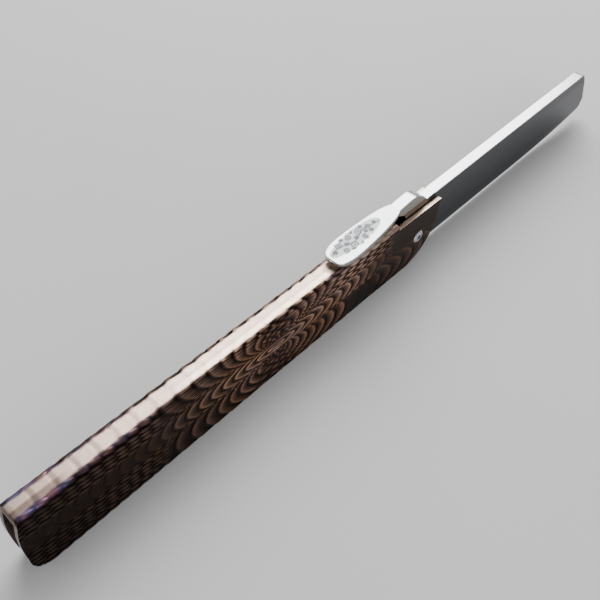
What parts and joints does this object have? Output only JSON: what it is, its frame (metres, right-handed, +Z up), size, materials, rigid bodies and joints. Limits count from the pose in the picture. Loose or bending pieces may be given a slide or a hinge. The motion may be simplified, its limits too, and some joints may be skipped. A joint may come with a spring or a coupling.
{
  "type": "friction folding knife",
  "caption": "Friction folding knife: a folded metal channel handle with scalloped sides, a straight-backed blade with an angled tip, and a flat thumb lever.",
  "frame": {"origin": "below the middle of the open knife's length, on the surface that the handle's open edge stands on", "axes": "+X from the butt towards the blade tip, +Y to the knife's left, +Z up towards the spine"},
  "size_m": [0.2038, 0.007, 0.0219],
  "materials": {
    "handle": "milled scallops, dark bronze in the valleys and copper on the ridges",
    "blade": "fine satin, bright spine and lever",
    "washer": "phosphor bronze, lapped flat",
    "pivot": "polished stainless steel"
  },
  "bodies": {
    "handle": {"handle_channel": "handle", "washer_left": "washer", "washer_right": "washer", "pivot_barrel": "pivot", "pivot_screw": "pivot"},
    "blade": {"blade": "blade"}
  },
  "joints": [
    {"name": "blade_pivot", "type": "hinge", "parent": "handle", "child": "blade", "pos_m": [0.0082, 0, 0.0085], "axis": [0, 1, 0], "range_deg": [0, 180]}
  ]
}
